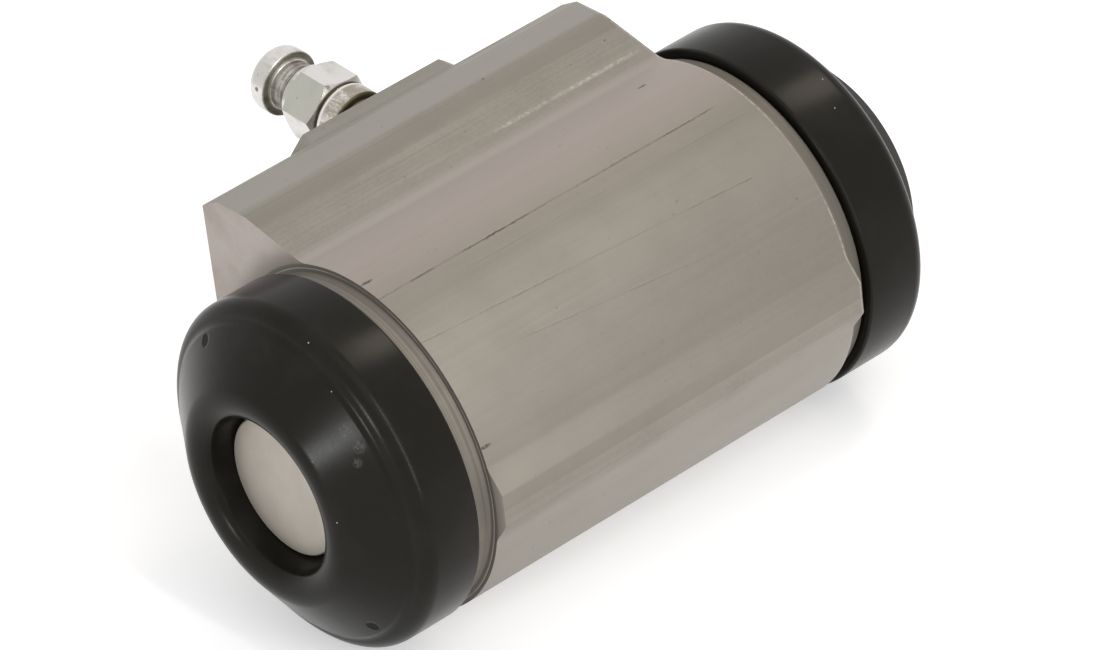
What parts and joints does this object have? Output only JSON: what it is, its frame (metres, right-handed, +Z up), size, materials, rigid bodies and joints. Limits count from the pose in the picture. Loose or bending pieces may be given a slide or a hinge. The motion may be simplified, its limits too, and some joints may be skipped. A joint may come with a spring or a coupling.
{
  "type": "wheel cylinder",
  "caption": "Hydraulic drum-brake wheel cylinder: extruded aluminium body with two opposed pistons, rubber dust boots and a bleed screw.",
  "frame": {"origin": "centre of the pilot boss's face on the mounting side, at the middle of the body's length", "axes": "+X along the bore, +Y out of the mounting face towards the backing plate and the bleed screw, +Z up with the bleed screw above the bore"},
  "size_m": [0.0723, 0.0563, 0.037],
  "materials": {
    "body": "bare extruded, machined ends",
    "screw": "zinc plated",
    "piston": "matt turned",
    "cup": "smooth",
    "expander": "pressed",
    "spring": "drawn wire",
    "boot": "moulded, satin"
  },
  "bodies": {
    "cylinder": {"cylinder_body": "body", "dust_boot_left": "boot", "dust_boot_right": "boot", "return_spring": "spring"},
    "left_piston": {"piston_left": "piston", "piston_cup_left": "cup", "cup_expander_left": "expander"},
    "right_piston": {"piston_right": "piston", "piston_cup_right": "cup", "cup_expander_right": "expander"},
    "bleeder": {"bleed_screw": "screw"}
  },
  "joints": [
    {"name": "left_piston_slide", "type": "slide", "parent": "cylinder", "child": "left_piston", "axis": [-1, 0, 0], "range_m": [-0.004, 0.006], "deforming": ["dust_boot_left", "return_spring"]},
    {"name": "right_piston_slide", "type": "slide", "parent": "cylinder", "child": "right_piston", "axis": [1, 0, 0], "range_m": [-0.0055, 0.0045], "deforming": ["dust_boot_right", "return_spring"]},
    {"name": "bleeder_turn", "type": "hinge", "parent": "cylinder", "child": "bleeder", "pos_m": [0, 0, 0.00735], "axis": [0, 0.9965, 0.0837], "range_deg": [0, 360]}
  ]
}
